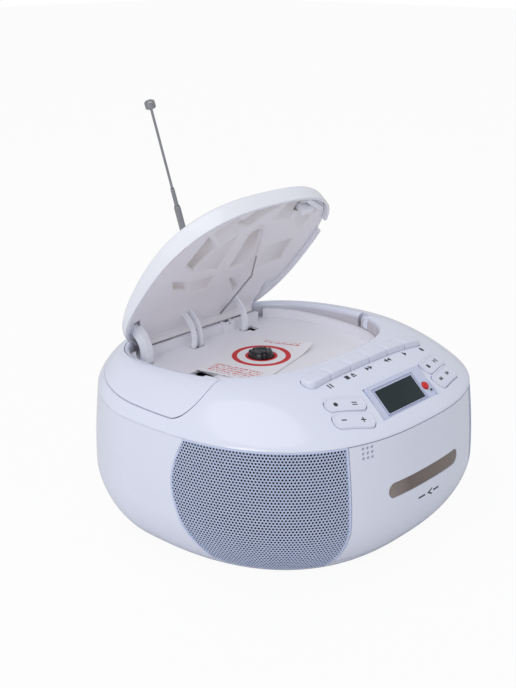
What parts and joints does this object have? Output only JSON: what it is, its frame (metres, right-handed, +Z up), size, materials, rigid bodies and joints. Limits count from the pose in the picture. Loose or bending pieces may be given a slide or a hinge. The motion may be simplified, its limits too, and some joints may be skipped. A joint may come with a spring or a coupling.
{
  "type": "cd radio",
  "caption": "Portable cd radio with a hinged disc lid, a front cassette door, rounded body, fold-down handle and telescopic aerial.",
  "frame": {"origin": "on the ground, in the middle of the bounding box (aerial and open lid included)", "axes": "+Z up; the display, keys and cassette door face -Y; +X to the right seen from the front"},
  "size_m": [0.2634, 0.2702, 0.2756],
  "materials": {
    "white_gloss": "glossy",
    "white_satin": "satin",
    "grille_silver": "satin",
    "black_plastic": "satin",
    "display_glass": "glossy",
    "window_tint": "glossy",
    "lamp_red": "glossy",
    "steel": "polished",
    "motor_metal": "satin",
    "circuit_board": "matte",
    "card_paper": "matte",
    "rubber_black": "matte"
  },
  "bodies": {
    "cabinet": {"top_cabinet": "white_gloss", "bottom_cabinet": "white_gloss", "display_bezel": "white_satin", "disc_deck": "white_satin", "display_glass": "display_glass", "record_lamp": "lamp_red", "control_board": "circuit_board", "main_board": "circuit_board", "lid_pin_left": "steel", "lid_pin_right": "steel", "pickup_rail_front": "steel", "pickup_rail_rear": "steel", "disc_motor": "steel", "tape_plate": "steel", "tape_head": "steel", "transport_card": "card_paper", "disc_plate": "black_plastic", "mains_inlet": "black_plastic", "aerial_mount": "black_plastic", "speaker_cone_left": "black_plastic", "speaker_cone_right": "black_plastic", "speaker_grille_left": "grille_silver", "speaker_grille_right": "grille_silver", "speaker_frame_left": "motor_metal", "speaker_frame_right": "motor_metal", "tape_motor": "motor_metal", "power_transformer": "motor_metal", "drive_belt": "rubber_black", "foot_front_left": "rubber_black", "foot_front_right": "rubber_black", "foot_rear_left": "rubber_black", "foot_rear_right": "rubber_black"},
    "lid": {"disc_lid": "white_gloss", "disc_lid_panel": "white_satin", "lid_wire": "steel"},
    "handle": {"carry_handle": "white_gloss"},
    "key_pause": {"key_pause": "white_gloss"},
    "key_stop_eject": {"key_stop_eject": "white_gloss"},
    "key_fast_forward": {"key_fast_forward": "white_gloss"},
    "key_rewind": {"key_rewind": "white_gloss"},
    "key_play": {"key_play": "white_gloss"},
    "key_record": {"key_record": "white_gloss"},
    "rocker_function": {"rocker_function": "white_gloss"},
    "rocker_volume": {"rocker_volume": "white_gloss"},
    "rocker_play": {"rocker_play": "white_gloss"},
    "rocker_skip": {"rocker_skip": "white_gloss"},
    "disc_table": {"turntable": "black_plastic"},
    "pickup": {"pickup_sled": "black_plastic"},
    "tape_door": {"cassette_door": "white_gloss", "cassette_window": "window_tint"},
    "reel_left": {"reel_hub_left": "black_plastic"},
    "reel_right": {"reel_hub_right": "black_plastic"},
    "flywheel": {"capstan_flywheel": "steel"},
    "pulley": {"motor_pulley": "steel"},
    "battery_cover": {"battery_door": "white_satin"},
    "aerial_base": {"aerial_swivel": "steel"},
    "aerial_outer": {"aerial_tube_outer": "steel"},
    "aerial_middle": {"aerial_tube_middle": "steel"},
    "aerial_inner": {"aerial_rod": "steel"}
  },
  "joints": [
    {"name": "lid_hinge", "type": "hinge", "parent": "cabinet", "child": "lid", "pos_m": [0, 0.08207, 0.1105], "axis": [1, 0, 0], "range_deg": [0, 51], "stiffness_Nm_per_rad": 0.08, "springref_deg": -45.84},
    {"name": "handle_hinge", "type": "hinge", "parent": "cabinet", "child": "handle", "pos_m": [0, -0.01853, 0.116], "axis": [1, 0, 0], "range_deg": [0, 80]},
    {"name": "key_pause_press", "type": "slide", "parent": "cabinet", "child": "key_pause", "axis": [0, 0, -1], "range_m": [0, 0.004], "stiffness_N_per_m": 400, "springref_m": -0.001},
    {"name": "key_stop_eject_press", "type": "slide", "parent": "cabinet", "child": "key_stop_eject", "axis": [0, 0, -1], "range_m": [0, 0.004], "stiffness_N_per_m": 400, "springref_m": -0.001},
    {"name": "key_fast_forward_press", "type": "slide", "parent": "cabinet", "child": "key_fast_forward", "axis": [0, 0, -1], "range_m": [0, 0.004], "stiffness_N_per_m": 400, "springref_m": -0.001},
    {"name": "key_rewind_press", "type": "slide", "parent": "cabinet", "child": "key_rewind", "axis": [0, 0, -1], "range_m": [0, 0.004], "stiffness_N_per_m": 400, "springref_m": -0.001},
    {"name": "key_play_press", "type": "slide", "parent": "cabinet", "child": "key_play", "axis": [0, 0, -1], "range_m": [0, 0.004], "stiffness_N_per_m": 400, "springref_m": -0.001},
    {"name": "key_record_press", "type": "slide", "parent": "cabinet", "child": "key_record", "axis": [0, 0, -1], "range_m": [0, 0.004], "stiffness_N_per_m": 400, "springref_m": -0.001},
    {"name": "rocker_function_rock", "type": "hinge", "parent": "cabinet", "child": "rocker_function", "pos_m": [-0.0476, -0.10033, 0.1103], "axis": [0.4695, 0.8829, 0], "range_deg": [-2, 2], "stiffness_Nm_per_rad": 0.2},
    {"name": "rocker_volume_rock", "type": "hinge", "parent": "cabinet", "child": "rocker_volume", "pos_m": [-0.0496, -0.10913, 0.1055], "axis": [0.4695, 0.8829, 0], "range_deg": [-2, 2], "stiffness_Nm_per_rad": 0.2},
    {"name": "rocker_play_rock", "type": "hinge", "parent": "cabinet", "child": "rocker_play", "pos_m": [0.0506, -0.09733, 0.1113], "axis": [-0.2588, 0.9659, 0], "range_deg": [-2, 2], "stiffness_Nm_per_rad": 0.2},
    {"name": "rocker_skip_rock", "type": "hinge", "parent": "cabinet", "child": "rocker_skip", "pos_m": [0.049, -0.10893, 0.1058], "axis": [-0.2588, 0.9659, 0], "range_deg": [-2, 2], "stiffness_Nm_per_rad": 0.2},
    {"name": "disc_spin", "type": "hinge", "parent": "cabinet", "child": "disc_table", "pos_m": [0, 0.01407, 0.104], "axis": [0, 0, 1], "continuous": true},
    {"name": "pickup_travel", "type": "slide", "parent": "cabinet", "child": "pickup", "axis": [1, 0, 0], "range_m": [-0.014, 0.014]},
    {"name": "tape_door_hinge", "type": "hinge", "parent": "cabinet", "child": "tape_door", "pos_m": [0, -0.11473, 0.015], "axis": [1, 0, 0], "range_deg": [0, 20]},
    {"name": "reel_left_spin", "type": "hinge", "parent": "cabinet", "child": "reel_left", "pos_m": [-0.02125, -0.10593, 0.0606], "axis": [0, 1, 0], "continuous": true},
    {"name": "reel_right_spin", "type": "hinge", "parent": "cabinet", "child": "reel_right", "pos_m": [0.02125, -0.10593, 0.0606], "axis": [0, 1, 0], "continuous": true},
    {"name": "flywheel_spin", "type": "hinge", "parent": "cabinet", "child": "flywheel", "pos_m": [0.02, -0.09693, 0.038], "axis": [0, 1, 0], "continuous": true},
    {"name": "pulley_spin", "type": "hinge", "parent": "cabinet", "child": "pulley", "pos_m": [-0.026, -0.09693, 0.044], "axis": [0, 1, 0], "continuous": true},
    {"name": "battery_cover_slide", "type": "slide", "parent": "cabinet", "child": "battery_cover", "axis": [0, 1, 0], "range_m": [0, 0.03]},
    {"name": "aerial_swing", "type": "hinge", "parent": "cabinet", "child": "aerial_base", "pos_m": [0.0598, 0.13107, 0.092], "axis": [0, 1, 0], "range_deg": [-73, 100]},
    {"name": "aerial_tilt", "type": "hinge", "parent": "aerial_base", "child": "aerial_outer", "pos_m": [0.0598, 0.13107, 0.092], "axis": [-0.9573, 0, -0.289], "range_deg": [0, 85]},
    {"name": "aerial_middle_slide", "type": "slide", "parent": "aerial_outer", "child": "aerial_middle", "axis": [-0.289, 0, 0.9573], "range_m": [-0.013, 0.06]},
    {"name": "aerial_inner_slide", "type": "slide", "parent": "aerial_middle", "child": "aerial_inner", "axis": [-0.289, 0, 0.9573], "range_m": [-0.064, 0.006]}
  ],
  "couplings": [
    {"joint": "pulley_spin", "follows": "flywheel_spin", "ratio": 3.4}
  ]
}
